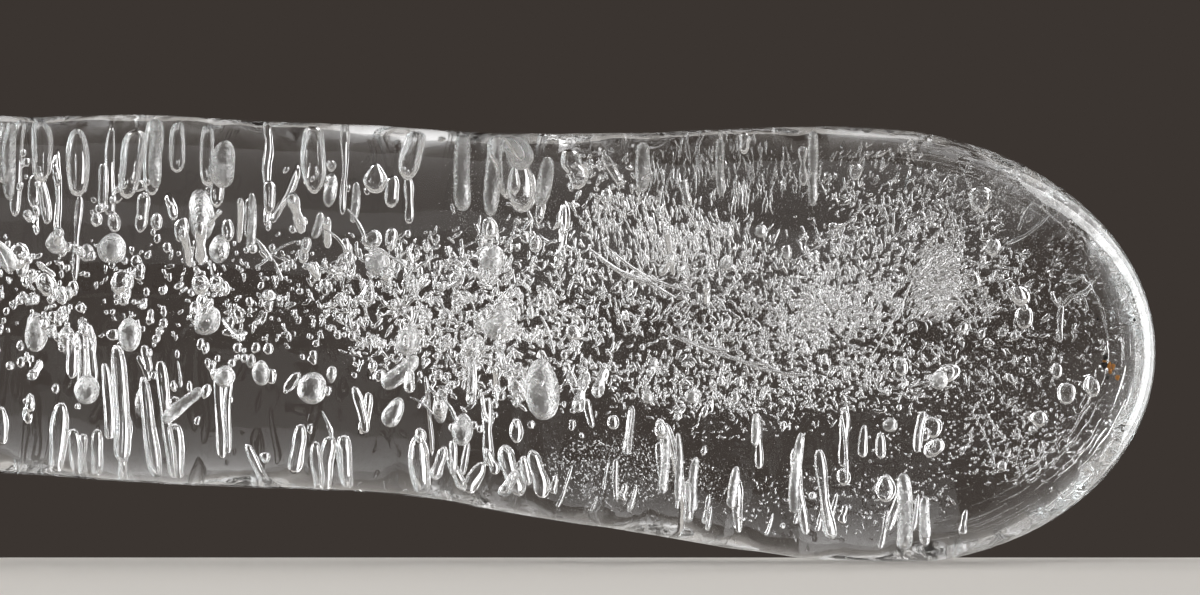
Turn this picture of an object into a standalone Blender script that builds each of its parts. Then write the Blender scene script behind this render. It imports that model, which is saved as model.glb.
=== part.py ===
"""A clear icicle, snapped off its ledge and lying on its side on a flat surface.

It is one piece of ice. From the blunt, swollen drip tip at +X a nearly even shaft runs back to a
fluted root, where the ice widened to meet its ledge and broke off across the grain. It rests on
two small melted flats, one under the swollen tip and one under the root, both at Z = 0.
The origin is on that surface, midway along the icicle and midway across it.
"""

import bmesh
import bpy
import numpy as np

MM = 0.001

# Lengths along the icicle are counted from the drip tip, against X.
LENGTH = 72 * MM
CAP_LENGTH = 8.4 * MM  # the rounded end is half an ellipsoid this deep
TIP_DIAMETER = 13.06 * MM
WAIST_DIAMETER = 11.02 * MM
SHAFT_DIAMETER = 10.7 * MM
ROOT_DIAMETER = 14.9 * MM
SWELLING = (
    (CAP_LENGTH, TIP_DIAMETER),
    (12.2 * MM, 0.97 * TIP_DIAMETER),
    (16.7 * MM, 0.903 * TIP_DIAMETER),
    (22.7 * MM, WAIST_DIAMETER),
    (29.5 * MM, WAIST_DIAMETER),
    (36.0 * MM, SHAFT_DIAMETER),
    (48.0 * MM, 1.08 * SHAFT_DIAMETER),
    (60.0 * MM, 1.22 * SHAFT_DIAMETER),
    (LENGTH, ROOT_DIAMETER),
)

# The middle of the ice lies a little higher along the shaft than at its two resting ends.
MELTED_OFF = 0.09 * MM  # how deep the flat under the tip is
TIP_HEIGHT = TIP_DIAMETER / 2 - MELTED_OFF
RISE = (
    (0.0, -0.18 * MM),
    (CAP_LENGTH, 0.0),
    (13.6 * MM, 0.31 * MM),
    (18.2 * MM, 0.57 * MM),
    (22.7 * MM, 1.04 * MM),
    (28.7 * MM, 1.35 * MM),
    (36.0 * MM, 1.58 * MM),
    (43.0 * MM, 1.62 * MM),
    (58.0 * MM, 1.3 * MM),
    (LENGTH, 0.64 * MM),
)
SIDEWAYS_BOW = 0.5 * MM

# Ribs ring the shaft at the even spacing that growing icicles have, and flutes run down the root.
RIB_SPACING = 9.2 * MM
RIB_HEIGHT = 0.17 * MM
RIBS_START = 30 * MM
RIBS_FULL = 44 * MM
FLUTES_START = 46 * MM
FLUTE_DEPTH = 0.03  # of the radius
FLUTE_COUNT = 5
NARROWER_ACROSS = 0.03  # of the radius
THREE_LOBES = 0.012  # of the radius
# Slow melting leaves shallow dimples: waves along the length, waves around, phase, height.
DIMPLES = (
    (4.0, 3, 0.4, 0.035 * MM),
    (7.0, 2, 2.1, 0.030 * MM),
    (11.0, 5, 4.0, 0.022 * MM),
)

# The break leans, shows arcs that spread from where it began, and has one ledge.
BREAK_LEAN = 0.1
BREAK_START = (2.5 * MM, 5.5 * MM)  # across and above the middle of the ice
ARC_SPACING = 2.9 * MM
ARC_HEIGHT = 0.12 * MM
LEDGE_HEIGHT = 0.6 * MM
LEDGE_WIDTH = 0.4 * MM
LEDGE_OFF_MIDDLE = 1.8 * MM
LEDGE_SLANT = 0.4
RINGS_LEAN_FROM = 0.8 * LENGTH  # past here the rings of the side lean with the break

AROUND = 48
CAP_RINGS = 12
BODY_RINGS = 54
BREAK_RINGS = 7
SNAP = 0.02 * MM  # corners this near the resting surface are taken to be on it
SHARP_EDGE = np.radians(35)


def clear_scene():
    for thing in list(bpy.data.objects):
        bpy.data.objects.remove(thing)


def smooth_through(stations, at):
    """A cubic through each (place, value), level at a high or low one, so it never overshoots."""
    place, value = np.array(stations).T
    step = np.diff(place)
    slope = np.diff(value) / step
    level = slope[:-1] * slope[1:] <= 0
    safe = np.where(level, 1.0, slope[:-1] + slope[1:])
    lean = np.zeros(len(place))
    lean[1:-1] = np.where(level, 0.0, 2 * slope[:-1] * slope[1:] / safe)
    lean[-1] = slope[-1]
    i = np.clip(np.searchsorted(place, at, side="right") - 1, 0, len(step) - 1)
    t = (at - place[i]) / step[i]
    return (
        value[i] * (2 * t**3 - 3 * t**2 + 1)
        + value[i + 1] * (3 * t**2 - 2 * t**3)
        + lean[i] * step[i] * (t**3 - 2 * t**2 + t)
        + lean[i + 1] * step[i] * (t**3 - t**2)
    )


def eased(at, start, full):
    """0 before start, 1 after full, and a smooth rise between them."""
    t = np.clip((at - start) / (full - start), 0, 1)
    return t * t * (3 - 2 * t)


def radius_at(along, angle):
    """The radius of the ice: the swelling, out of round, with ribs, flutes and dimples added."""
    in_cap = np.sqrt(np.clip(1 - (1 - along / CAP_LENGTH) ** 2, 0, 1)) * TIP_DIAMETER / 2
    radius = np.where(along < CAP_LENGTH, in_cap, smooth_through(SWELLING, along) / 2)
    out_of_round = 1 - NARROWER_ACROSS * np.cos(angle) ** 2 + THREE_LOBES * np.cos(3 * angle)
    flutes = FLUTE_DEPTH * np.cos(FLUTE_COUNT * angle) * eased(along, FLUTES_START, LENGTH)
    ribs = RIB_HEIGHT * np.cos(2 * np.pi * along / RIB_SPACING) * eased(along, RIBS_START, RIBS_FULL)
    dimples = sum(
        height * np.sin(2 * np.pi * waves * along / LENGTH + phase) * np.cos(around * angle + phase)
        for waves, around, phase, height in DIMPLES
    )
    return radius * (out_of_round + flutes) + ribs + dimples * eased(along, 0, CAP_LENGTH)


def middle_at(along):
    """Where the middle of the ice runs: across, and above the resting surface."""
    across = SIDEWAYS_BOW * np.sin(np.pi * along / LENGTH)
    return across, TIP_HEIGHT + smooth_through(RISE, along)


def break_depth(across, above):
    """How far the broken face stands back from the root's end, at a point counted from its middle."""
    spread = np.hypot(across - BREAK_START[0], above - BREAK_START[1])
    arcs = ARC_HEIGHT * np.cos(2 * np.pi * spread / ARC_SPACING)
    from_ledge = across + LEDGE_SLANT * above + LEDGE_OFF_MIDDLE
    ledge = LEDGE_HEIGHT / (1 + np.exp(from_ledge / LEDGE_WIDTH))
    return BREAK_LEAN * (above + ROOT_DIAMETER / 2) + arcs + ledge


def ice_mesh():
    """Rings from the tip to the root, then rings that shrink across the break to its middle."""
    angle = np.linspace(0, 2 * np.pi, AROUND, endpoint=False)[None, :]
    turn = np.linspace(0, np.pi / 2, CAP_RINGS + 1)[1:]
    cap = CAP_LENGTH * (1 - np.cos(turn))
    body = np.linspace(CAP_LENGTH, LENGTH, BODY_RINGS + 1)[1:]
    along = np.concatenate([cap, body])[:, None]
    across, height = middle_at(along)
    radius = radius_at(along, angle)
    out = radius * np.cos(angle)
    up = radius * np.sin(angle)
    # The last few rings give way to the lean of the break, so that none crosses it.
    back = break_depth(out[-1], up[-1])
    gives_way = eased(along, RINGS_LEAN_FROM, LENGTH)
    side = np.stack([-(along - gives_way * back), across + out, height + up], axis=-1)

    share = np.linspace(1, 0, BREAK_RINGS + 1)[1:-1, None]
    face_out, face_up = share * out[-1], share * up[-1]
    face_back = break_depth(face_out, face_up)
    face = np.stack([face_back - LENGTH, across[-1] + face_out, height[-1] + face_up], axis=-1)

    rings = np.concatenate([side, face])
    tip = np.array([[0.0, 0.0, TIP_HEIGHT + RISE[0][1]]])
    centre = np.array([[break_depth(0.0, 0.0) - LENGTH, across[-1, 0], height[-1, 0]]])
    points = np.concatenate([tip, rings.reshape(-1, 3), centre])

    faces = []
    for ring in range(len(rings) - 1):
        for i in range(AROUND):
            j = (i + 1) % AROUND
            near, far = 1 + ring * AROUND, 1 + (ring + 1) * AROUND
            faces.append((near + i, near + j, far + j, far + i))
    last = 1 + (len(rings) - 1) * AROUND
    for i in range(AROUND):
        j = (i + 1) % AROUND
        faces.append((0, 1 + j, 1 + i))
        faces.append((len(points) - 1, last + i, last + j))
    return points, faces


def melt_flats(mesh):
    """Takes off what reaches below the resting surface, and closes the two flats that leaves."""
    shape = bmesh.new()
    shape.from_mesh(mesh)
    everything = shape.verts[:] + shape.edges[:] + shape.faces[:]
    cut = bmesh.ops.bisect_plane(
        shape, geom=everything, dist=SNAP, plane_co=(0, 0, 0), plane_no=(0, 0, -1), clear_outer=True
    )
    rim = [part for part in cut["geom_cut"] if isinstance(part, bmesh.types.BMEdge)]
    bmesh.ops.holes_fill(shape, edges=rim)
    bmesh.ops.recalc_face_normals(shape, faces=shape.faces[:])
    shape.to_mesh(mesh)
    shape.free()


def centre_on_origin(mesh):
    """Puts the origin midway along and midway across, on the resting surface."""
    points = np.array([corner.co for corner in mesh.vertices])
    middle = (points.min(0) + points.max(0)) / 2
    points[:, :2] -= middle[:2]
    mesh.vertices.foreach_set("co", points.ravel())
    mesh.update()


def clear_ice():
    """Ice, which lets nearly all light through and has a gloss from melting."""
    material = bpy.data.materials.new("clear_ice")
    material.use_nodes = True
    shader = material.node_tree.nodes["Principled BSDF"]
    shader.inputs["Base Color"].default_value = (0.97, 0.985, 1.0, 1.0)
    shader.inputs["Roughness"].default_value = 0.03
    shader.inputs["IOR"].default_value = 1.31
    shader.inputs["Transmission Weight"].default_value = 1.0
    return material


def make_icicle():
    points, faces = ice_mesh()
    mesh = bpy.data.meshes.new("icicle")
    mesh.from_pydata(points.tolist(), [], faces)
    melt_flats(mesh)
    centre_on_origin(mesh)
    mesh.shade_smooth()
    mesh.set_sharp_from_angle(angle=SHARP_EDGE)
    mesh.materials.append(clear_ice())
    icicle = bpy.data.objects.new("icicle", mesh)
    bpy.context.scene.collection.objects.link(icicle)


clear_scene()
make_icicle()
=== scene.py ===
import bpy
import numpy as np
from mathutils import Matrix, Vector


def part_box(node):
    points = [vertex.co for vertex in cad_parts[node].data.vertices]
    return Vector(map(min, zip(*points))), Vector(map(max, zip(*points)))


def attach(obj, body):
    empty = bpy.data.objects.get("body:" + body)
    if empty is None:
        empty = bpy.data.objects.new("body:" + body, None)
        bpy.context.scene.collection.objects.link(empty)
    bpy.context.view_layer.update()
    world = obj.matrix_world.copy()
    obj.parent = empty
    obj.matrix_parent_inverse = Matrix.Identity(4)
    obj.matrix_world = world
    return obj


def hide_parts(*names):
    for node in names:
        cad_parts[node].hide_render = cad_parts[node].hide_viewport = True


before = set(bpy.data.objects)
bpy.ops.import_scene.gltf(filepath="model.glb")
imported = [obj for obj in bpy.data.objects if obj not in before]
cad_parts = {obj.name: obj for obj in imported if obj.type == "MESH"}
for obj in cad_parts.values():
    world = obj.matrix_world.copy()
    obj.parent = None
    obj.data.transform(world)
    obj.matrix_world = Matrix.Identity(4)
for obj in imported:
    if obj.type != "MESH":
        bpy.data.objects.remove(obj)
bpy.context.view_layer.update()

# -------- the ice --------
# One piece of ice, grown by dripping water, thickest at the blunt tip and at the root. Its side is
# glossy from melting. It broke off its ledge, and the broken face is a little frosted. Two small
# flats, melted under the tip and the root, lie on the floor.

MM = 0.001
LENGTH = 72 * MM  # counted from the drip tip, against X
CAP_LENGTH = 8.4 * MM
TIP_DIAMETER = 13.06 * MM
WAIST_DIAMETER = 11.02 * MM
SHAFT_DIAMETER = 10.7 * MM
ROOT_DIAMETER = 14.9 * MM
SWELLING = (
    (CAP_LENGTH, TIP_DIAMETER),
    (12.2 * MM, 0.97 * TIP_DIAMETER),
    (16.7 * MM, 0.903 * TIP_DIAMETER),
    (22.7 * MM, WAIST_DIAMETER),
    (29.5 * MM, WAIST_DIAMETER),
    (36.0 * MM, SHAFT_DIAMETER),
    (48.0 * MM, 1.08 * SHAFT_DIAMETER),
    (60.0 * MM, 1.22 * SHAFT_DIAMETER),
    (LENGTH, ROOT_DIAMETER),
)
MELTED_OFF = 0.09 * MM
TIP_HEIGHT = TIP_DIAMETER / 2 - MELTED_OFF
RISE = (
    (0.0, -0.18 * MM),
    (CAP_LENGTH, 0.0),
    (13.6 * MM, 0.31 * MM),
    (18.2 * MM, 0.57 * MM),
    (22.7 * MM, 1.04 * MM),
    (28.7 * MM, 1.35 * MM),
    (36.0 * MM, 1.58 * MM),
    (43.0 * MM, 1.62 * MM),
    (58.0 * MM, 1.3 * MM),
    (LENGTH, 0.64 * MM),
)
SIDEWAYS_BOW = 0.5 * MM
RIB_SPACING = 9.2 * MM
RIB_HEIGHT = 0.17 * MM
RIBS_START = 30 * MM
RIBS_FULL = 44 * MM
FLUTES_START = 46 * MM
FLUTE_DEPTH = 0.03  # of the radius
FLUTE_COUNT = 5
NARROWER_ACROSS = 0.03  # of the radius
THREE_LOBES = 0.012  # of the radius
# Waves along the length, waves around, phase and height.
DIMPLES = (
    (4.0, 3, 0.4, 0.035 * MM),
    (7.0, 2, 2.1, 0.030 * MM),
    (11.0, 5, 4.0, 0.022 * MM),
)
FINE_DIMPLES = (
    (31.0, 7, 1.3, 0.0060 * MM),
    (47.0, 11, 3.2, 0.0045 * MM),
    (64.0, 4, 5.1, 0.0040 * MM),
    (23.0, 16, 0.2, 0.0040 * MM),
)
GROWTH_RINGS_SPACING = 0.55 * MM
GROWTH_RINGS_HEIGHT = 0.007 * MM
GROWTH_RINGS_WAVER = 1.5  # radians
GROWTH_RINGS_START = 0.3 * MM
GROWTH_RINGS_FULL = 2 * MM
GROWTH_RINGS_END = 7 * MM
GROWTH_RINGS_FADE = 0.6 * GROWTH_RINGS_END

BREAK_LEAN = 0.1
BREAK_START = (2.5 * MM, 5.5 * MM)  # across and above the middle of the ice
ARC_SPACING = 2.9 * MM
ARC_HEIGHT = 0.12 * MM
LEDGE_HEIGHT = 0.6 * MM
LEDGE_WIDTH = 0.4 * MM
LEDGE_OFF_MIDDLE = 1.8 * MM
LEDGE_SLANT = 0.4
RINGS_LEAN_FROM = 0.8 * LENGTH
HACKLE_COUNT = 46
HACKLE_HEIGHT = 0.05 * MM
HACKLE_WAVER = 3  # radians
HACKLE_FROM_RIM = 0.12  # of the way in from the rim
CHIPS_SPACING = 0.9 * MM
CHIPS_HEIGHT = 0.035 * MM
CHIPS_SKEW = (0.3, 0.4)

AROUND = 192
CAP_RINGS = 56
BODY_RINGS = 216
BREAK_RINGS = 26
SHARP_EDGE = np.radians(40)

ICE_IOR = 1.31
low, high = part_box("icicle")


def smooth_through(stations, at):
    """A cubic through each (place, value), level at a high or low one, so it never overshoots."""
    place, value = np.array(stations).T
    step = np.diff(place)
    slope = np.diff(value) / step
    level = slope[:-1] * slope[1:] <= 0
    safe = np.where(level, 1.0, slope[:-1] + slope[1:])
    lean = np.zeros(len(place))
    lean[1:-1] = np.where(level, 0.0, 2 * slope[:-1] * slope[1:] / safe)
    lean[-1] = slope[-1]
    i = np.clip(np.searchsorted(place, at, side="right") - 1, 0, len(step) - 1)
    t = (at - place[i]) / step[i]
    return (
        value[i] * (2 * t**3 - 3 * t**2 + 1)
        + value[i + 1] * (3 * t**2 - 2 * t**3)
        + lean[i] * step[i] * (t**3 - 2 * t**2 + t)
        + lean[i + 1] * step[i] * (t**3 - t**2)
    )


def eased(at, start, full):
    """0 before start, 1 after full, and a smooth rise between them."""
    t = np.clip((at - start) / (full - start), 0, 1)
    return t * t * (3 - 2 * t)


def waves(table, along, angle):
    """A sum of products of one sine along the length and one cosine around it."""
    return sum(
        height * np.sin(2 * np.pi * count * along / LENGTH + phase) * np.cos(around * angle + phase)
        for count, around, phase, height in table
    )


def radius_at(along, angle):
    """The radius of the ice: the swelling, out of round, with ribs, flutes and dimples added."""
    in_cap = np.sqrt(np.clip(1 - (1 - along / CAP_LENGTH) ** 2, 0, 1)) * TIP_DIAMETER / 2
    radius = np.where(along < CAP_LENGTH, in_cap, smooth_through(SWELLING, along) / 2)
    out_of_round = 1 - NARROWER_ACROSS * np.cos(angle) ** 2 + THREE_LOBES * np.cos(3 * angle)
    flutes = FLUTE_DEPTH * np.cos(FLUTE_COUNT * angle) * eased(along, FLUTES_START, LENGTH)
    ripple = np.cos(2 * np.pi * along / RIB_SPACING)
    ribs = RIB_HEIGHT * ripple * eased(along, RIBS_START, RIBS_FULL)
    dimples = waves(DIMPLES, along, angle) * eased(along, 0, CAP_LENGTH)
    return radius * (out_of_round + flutes) + ribs + dimples


def middle_at(along):
    """Where the middle of the ice runs: across, and above the floor."""
    across = SIDEWAYS_BOW * np.sin(np.pi * along / LENGTH)
    return across, TIP_HEIGHT + smooth_through(RISE, along)


def melt_relief(along, angle):
    """What melting leaves on the skin: fine dimples, and faint growth rings around the tip."""
    waver = GROWTH_RINGS_WAVER * np.sin(2 * angle)
    rings = np.sin(2 * np.pi * along / GROWTH_RINGS_SPACING + waver)
    rise = eased(along, GROWTH_RINGS_START, GROWTH_RINGS_FULL)
    strength = rise * (1 - eased(along, GROWTH_RINGS_FADE, GROWTH_RINGS_END))
    fine = waves(FINE_DIMPLES, along, angle) * eased(along, 0, CAP_LENGTH)
    return fine + GROWTH_RINGS_HEIGHT * rings * strength


def break_depth(across, above):
    """How far the broken face stands back: a lean, arcs around where it began, and one ledge."""
    spread = np.hypot(across - BREAK_START[0], above - BREAK_START[1])
    arcs = ARC_HEIGHT * np.cos(2 * np.pi * spread / ARC_SPACING)
    from_ledge = across + LEDGE_SLANT * above + LEDGE_OFF_MIDDLE
    ledge = LEDGE_HEIGHT / (1 + np.exp(from_ledge / LEDGE_WIDTH))
    return BREAK_LEAN * (above + ROOT_DIAMETER / 2) + arcs + ledge


def hackle(across, above):
    """Fine ridges that fan out from where the break began, and small chips between them."""
    spread = np.hypot(across - BREAK_START[0], above - BREAK_START[1])
    heading = np.arctan2(above - BREAK_START[1], across - BREAK_START[0])
    fan = np.abs(np.sin(HACKLE_COUNT / 2 * heading + HACKLE_WAVER * np.sin(spread / MM)))
    chips = np.sin(2 * np.pi * (across + CHIPS_SKEW[0] * above) / CHIPS_SPACING) * np.sin(
        2 * np.pi * (above - CHIPS_SKEW[1] * across) / CHIPS_SPACING
    )
    return HACKLE_HEIGHT * fan * np.clip(spread / ROOT_DIAMETER, 0, 1) + CHIPS_HEIGHT * chips


def wall_faces(count, rings, around):
    """Faces of closed surfaces numbered pole, rings, pole: quads between rings, fans at poles."""
    ring, i = np.meshgrid(np.arange(rings - 1), np.arange(around), indexing="ij")
    j = (i + 1) % around
    near, far = 1 + ring * around, 1 + (ring + 1) * around
    quads = np.stack([near + i, near + j, far + j, far + i], -1).reshape(-1, 4)
    i = np.arange(around)
    j = (i + 1) % around
    end = 1 + (rings - 1) * around
    last = np.full(around, end + around)
    near_pole = np.stack([0 * i, 1 + j, 1 + i], -1)
    far_pole = np.stack([last, end + i, end + j], -1)
    fans = np.concatenate([near_pole, far_pole])
    first = (np.arange(count) * (rings * around + 2))[:, None, None]
    return (quads + first).reshape(-1, 4), (fans + first).reshape(-1, 3)


def add_piece(name, points, quads, fans, materials, on_second=None):
    """Puts the corners and faces into a mesh of that name, shaded smooth, at the origin."""
    mesh = bpy.data.meshes.new(name)
    corners = np.concatenate([quads.ravel(), fans.ravel()])
    starts = np.concatenate([4 * np.arange(len(quads)), quads.size + 3 * np.arange(len(fans))])
    mesh.vertices.add(len(points))
    mesh.vertices.foreach_set("co", points.astype(np.float32).ravel())
    mesh.loops.add(len(corners))
    mesh.loops.foreach_set("vertex_index", corners)
    mesh.polygons.add(len(starts))
    mesh.polygons.foreach_set("loop_start", starts)
    mesh.update(calc_edges=True)
    mesh.shade_smooth()
    for material in materials:
        mesh.materials.append(material)
    if on_second is not None:
        mesh.polygons.foreach_set("material_index", on_second.astype(np.int32))
    piece = bpy.data.objects.new(name, mesh)
    bpy.context.scene.collection.objects.link(piece)
    return piece


def ice_skin():
    """The skin over a grid of rings from the tip to the root and angles around them.

    The side stands radius_at plus melt_relief out from middle_at, and its last rings lean with
    the break. Then rings shrink evenly over the broken face, break_depth plus hackle deep."""
    angle = np.linspace(2 * np.pi, 0, AROUND, endpoint=False)[None, :]  # so faces point outwards
    turn = np.linspace(0, np.pi / 2, CAP_RINGS + 1)[1:]
    cap = CAP_LENGTH * (1 - np.cos(turn))
    body = np.linspace(CAP_LENGTH, LENGTH, BODY_RINGS + 1)[1:]
    along = np.concatenate([cap, body])[:, None]
    across, height = middle_at(along)
    radius = radius_at(along, angle) + melt_relief(along, angle)
    out, up = radius * np.cos(angle), radius * np.sin(angle)
    back = break_depth(out[-1], up[-1])
    gives_way = eased(along, RINGS_LEAN_FROM, LENGTH)
    side = np.stack([-(along - gives_way * back), across + out, height + up], axis=-1)

    share = np.linspace(1, 0, BREAK_RINGS + 1)[1:-1, None]
    face_out, face_up = share * out[-1], share * up[-1]
    inside_rim = eased(1 - share, 0, HACKLE_FROM_RIM)
    face_back = break_depth(face_out, face_up) + inside_rim * hackle(face_out, face_up)
    face = np.stack([face_back - LENGTH, across[-1] + face_out, height[-1] + face_up], axis=-1)

    rings = np.concatenate([side, face])
    tip = np.array([[0.0, 0.0, TIP_HEIGHT + RISE[0][1]]])
    deepest = break_depth(0.0, 0.0) + hackle(0.0, 0.0) - LENGTH
    centre = np.array([[deepest, across[-1, 0], height[-1, 0]]])
    points = np.concatenate([tip, rings.reshape(-1, 3), centre])
    points[:, 0] += high.x
    points[:, 1] -= (points[:, 1].min() + points[:, 1].max()) / 2
    points[:, 2] = np.maximum(points[:, 2], 0)  # melted flat where it rests
    quads, fans = wall_faces(1, len(rings), AROUND)
    broken = np.zeros(len(quads) + len(fans), bool)
    broken[(len(side) - 1) * AROUND : len(quads)] = True
    broken[len(quads) + AROUND :] = True
    return points, quads, fans, broken


def colour(hex_text):
    """An sRGB hex value such as "ff8800" as a linear colour with full alpha."""
    part = np.array([int(hex_text[i : i + 2], 16) / 255 for i in (0, 2, 4)])
    linear = np.where(part <= 0.04045, part / 12.92, ((part + 0.055) / 1.055) ** 2.4)
    return (*linear.tolist(), 1.0)


def add_node(material, kind, settings=None, links=()):
    """Adds a node, sets its properties and sockets, and links (from_node, output, input)."""
    node = material.node_tree.nodes.new(kind)
    for name, value in (settings or {}).items():
        if name in node.inputs:
            node.inputs[name].default_value = value
        else:
            setattr(node, name, value)
    for source, output, name in links:
        material.node_tree.links.new(source.outputs[output], node.inputs[name])
    return node


def new_material(name):
    """A material with no nodes yet."""
    material = bpy.data.materials.new(name)
    material.use_nodes = True
    material.node_tree.nodes.clear()
    return material


def fine_relief(material, grain, detail, height):
    """A bump of noise with grains of that size and height, in metres."""
    place = add_node(material, "ShaderNodeTexCoord")
    settings = {"Scale": 1 / grain, "Detail": detail}
    noise = add_node(material, "ShaderNodeTexNoise", settings, [(place, "Object", "Vector")])
    return add_node(material, "ShaderNodeBump", {"Distance": height}, [(noise, "Fac", "Height")])


def ice_material(name, roughness, grain, height):
    """Ice: IOR 1.31, all light let through, and the faint blue that water has in depth."""
    material = new_material(name)
    relief = fine_relief(material, grain, 1.0, height)
    settings = {
        "Base Color": colour("ffffff"),
        "Roughness": roughness,
        "IOR": ICE_IOR,
        "Transmission Weight": 1.0,
    }
    links = [(relief, "Normal", "Normal")]
    surface = add_node(material, "ShaderNodeBsdfPrincipled", settings, links)
    settings = {"Color": colour("e4f0f4"), "Density": 0.4}
    depth = add_node(material, "ShaderNodeVolumeAbsorption", settings)
    links = [(surface, "BSDF", "Surface"), (depth, "Volume", "Volume")]
    add_node(material, "ShaderNodeOutputMaterial", links=links)
    return material


# Clear ice, wet from melting: as smooth as glass, so its highlights are sharp, and they waver a
# little over a relief too low to feel.
melted_ice = ice_material("melted_clear_ice", roughness=0.0, grain=0.9 * MM, height=0.004 * MM)
# Ice as it snapped: dry, with a fine grain that blurs what shows through it and looks frosty.
snapped_ice = ice_material("snapped_ice", roughness=0.16, grain=0.25 * MM, height=0.02 * MM)

points, quads, fans, broken = ice_skin()
clear_ice = add_piece("clear_ice", points, quads, fans, [melted_ice, snapped_ice], broken)
clear_ice.data.set_sharp_from_angle(angle=SHARP_EDGE)
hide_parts("icicle")
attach(clear_ice, "root")
middle_across = (low.y + high.y) / 2 - SIDEWAYS_BOW / 2

# -------- long tube bubbles --------
# Air that the freezing water could not hold came out in long tubes. They grew outwards from the
# middle, so each points to the side of the ice, and most end just under the skin.

LONG_GRID = (11, 14)  # rings from end to end, and corners around each
EGG = 2.0  # how blunt the ends of an egg are
BLUNTEST = 8.0  # and those of a long tube
BLUNTER_BY = 0.75  # for each radius of length
WAIST_WIDTH = 0.16  # of the length
LUMPS_ALONG = 9  # radians from end to end, as is the twist
LUMPS_TWIST = 5
FROST_GRAIN = 0.12 * MM
SLOPE_STEP = 0.1 * MM

NEAREST_SKIN = 0.95  # of the radius of the ice, as far out as a bubble may lie
FARTHEST_OUT = 0.97  # and as far up or down as it may look to lie

# Tubes at random: places from the tip, ends as shares of the radius of the ice, sizes in mm.
SIDE_TUBES = 190
SIDE_TUBES_PLACE = (13 * MM, 0.985 * LENGTH)
SIDE_TUBES_INNER_END = (0.3, 0.75)
SIDE_TUBES_LONG = (0.12, 0.5)  # of the radius of the ice
SIDE_TUBES_RADIUS = (0.1, 0.32)
SHORTEST = 2.4  # radii long
LISTED_TO = 35 * MM  # from the tip, where the upright tubes are listed
UPRIGHT = 0.72  # sine of the angle to the level
THINNER_TO = 36 * MM  # from the tip
THINNER_BY = 0.6
FLOOR_TUBES = 20
FLOOR_TUBES_PLACE = (5.5 * MM, 20 * MM)
FLOOR_TUBES_OUTER_END = (0.8, 0.93)
FLOOR_TUBES_LONG = (0.4, 1.2)
FLOOR_TUBES_RADIUS = (0.05, 0.13)
FLOOR_TUBES_LEAN = 0.15  # of their length

# From the tip, upper end, lower end, radius and slant, in mm, and waist, as a share of the radius.
# Here and below, places in lists are as they look through the ice from the side.
UPPER_TUBES = (
    (19.3, 12.9, 12.0, 0.16, -0.5, 0),
    (34.5, 13.1, 11.4, 0.35, 0, 0),
    (34.1, 13.2, 10.4, 0.2, 0.1, 0.2),
    (33.4, 13.2, 11.4, 0.32, -0.1, 0),
    (33.3, 11.6, 10.2, 0.17, -0.3, 0.1),
    (33.6, 11.7, 10.7, 0.19, 0, 0),
    (32.3, 12.9, 11.0, 0.34, 0, 0),
    (32.3, 11.0, 8.4, 0.13, 0.1, 0.5),
    (31.4, 13.0, 10.4, 0.17, 0, 0.3),
    (31.6, 12.0, 10.5, 0.15, 0, 0),
    (30.7, 12.9, 10.9, 0.37, 0.3, 0),
    (30.4, 11.1, 9.9, 0.2, 0.1, 0.2),
    (30.1, 13.2, 11.0, 0.29, 0.15, 0),
    (29.3, 13.1, 11.7, 0.24, 0, 0),
    (28.4, 13.0, 11.3, 0.24, -0.1, 0.1),
    (28.1, 11.9, 10.7, 0.2, 0.1, 0),
    (27.2, 11.0, 9.8, 0.11, 0, 0.3),
    (26.6, 11.5, 10.5, 0.2, 0, 0),
    (25.3, 13.0, 11.1, 0.38, 0, 0),
    (23.4, 12.0, 11.1, 0.33, 0, 0),
    (22.9, 11.7, 10.7, 0.24, 0.1, 0),
    (22.3, 12.8, 11.5, 0.33, 0.3, 0),
    (22.4, 11.6, 10.2, 0.16, 0, 0.2),
    (19.6, 12.6, 11.0, 0.4, -0.5, 0.2),
    (19.1, 12.0, 10.6, 0.42, -0.2, 0),
    (17.5, 12.3, 11.3, 0.33, -0.6, 0.3),
    (16.3, 12.2, 11.3, 0.14, -0.6, 0),
    (14.1, 11.5, 10.7, 0.15, -0.2, 0.4),
    (12.4, 12.8, 12.2, 0.22, 0.1, 0.3),
    (10.6, 12.4, 11.3, 0.15, 0, 0.6),
)
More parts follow.
